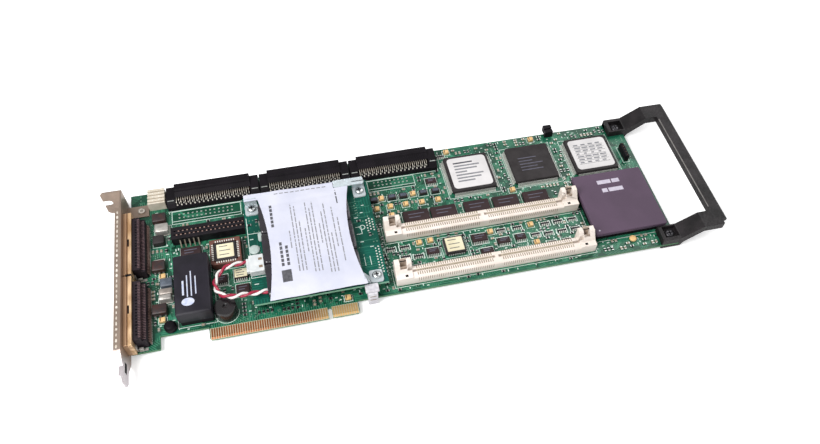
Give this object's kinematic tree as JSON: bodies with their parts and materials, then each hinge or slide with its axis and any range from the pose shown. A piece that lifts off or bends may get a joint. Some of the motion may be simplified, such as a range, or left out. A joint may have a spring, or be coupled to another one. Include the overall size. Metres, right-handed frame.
{
  "type": "raid controller card",
  "caption": "Full-length green disk-array controller card with steel slot bracket, cable headers, battery board, memory sockets and a black end handle",
  "frame": {"origin": "bottom edge of the card-edge contact tongue, in the middle of its key slot, on the component side of the board", "axes": "+X along the card from slot bracket to end handle, +Y from the contacts to the top edge, +Z out of the component side"},
  "size_m": [0.3538, 0.1291, 0.0184],
  "materials": {
    "black_moulding": "matte, fine texture",
    "board_laminate": "semi-gloss green solder resist on glass-epoxy laminate",
    "bracket_steel": "plated sheet steel, dull",
    "can_metal": "satin can",
    "ceramic_lid": "matte purple-brown ceramic",
    "contact_metal": "bright plated wire",
    "cover_sheet": "frosted white formed sheet",
    "deck_laminate": "semi-gloss green solder resist",
    "gold_plate": "plated contact metal, satin",
    "handle_black": "fine spark texture",
    "label_paper": "matte label",
    "latch_steel": "sprung steel, dull",
    "package_black": "matte moulding compound",
    "post_steel": "bright plated",
    "power_body": "matte",
    "rivet_steel": "satin",
    "screw_steel": "bright plated",
    "shell_brass": "yellow-plated shell, satin",
    "sleeve_film": "black shrink film",
    "socket_brown": "matte brown moulding",
    "socket_cream": "satin cream moulding",
    "tantalum_orange": "satin moulding",
    "white_nylon": "satin white nylon",
    "wire_insulation": "red and white insulated pair"
  },
  "bodies": {
    "root": {"battery_board": "deck_laminate", "battery_cover": "cover_sheet", "battery_lead": "wire_insulation", "battery_pack": "sleeve_film", "battery_plug": "white_nylon", "battery_socket": "white_nylon", "board_clip": "white_nylon", "bracket_rivet": "rivet_steel", "buzzer": "black_moulding", "cache_chips": "package_black", "card_handle": "handle_black", "chip_labels": "label_paper", "chip_socket": "socket_brown", "clock_chip": "package_black", "controller_chip_1": "package_black", "controller_chip_2": "package_black", "controller_chip_3": "package_black", "cover_screws": "screw_steel", "crystal_cans": "can_metal", "deck_posts": "post_steel", "disc_capacitor": "tantalum_orange", "drive_header_1": "black_moulding", "drive_header_2": "black_moulding", "drive_header_3": "black_moulding", "drive_header_contacts_1": "contact_metal", "drive_header_contacts_2": "contact_metal", "drive_header_contacts_3": "contact_metal", "drive_lamp_header": "white_nylon", "edge_contacts": "gold_plate", "expansion_header": "black_moulding", "expansion_header_tails": "contact_metal", "handle_screws": "screw_steel", "jack_posts": "post_steel", "jumper_block": "black_moulding", "logic_chips": "package_black", "main_board": "board_laminate", "memory_module": "black_moulding", "memory_socket_1": "socket_cream", "memory_socket_2": "socket_cream", "module_socket": "black_moulding", "port_housing_lower": "black_moulding", "port_housing_upper": "black_moulding", "port_shell_lower": "shell_brass", "port_shell_upper": "shell_brass", "power_inductors": "package_black", "processor": "ceramic_lid", "processor_socket": "package_black", "resistor_packs": "package_black", "round_choke": "black_moulding", "slot_bracket": "bracket_steel", "snap_post": "white_nylon", "socket_latches": "latch_steel", "socketed_chip": "package_black", "suppressor_blocks": "black_moulding", "tantalum_capacitors": "tantalum_orange", "terminator_regulators": "power_body", "test_header": "black_moulding", "timing_chip": "package_black"}
  },
  "joints": []
}
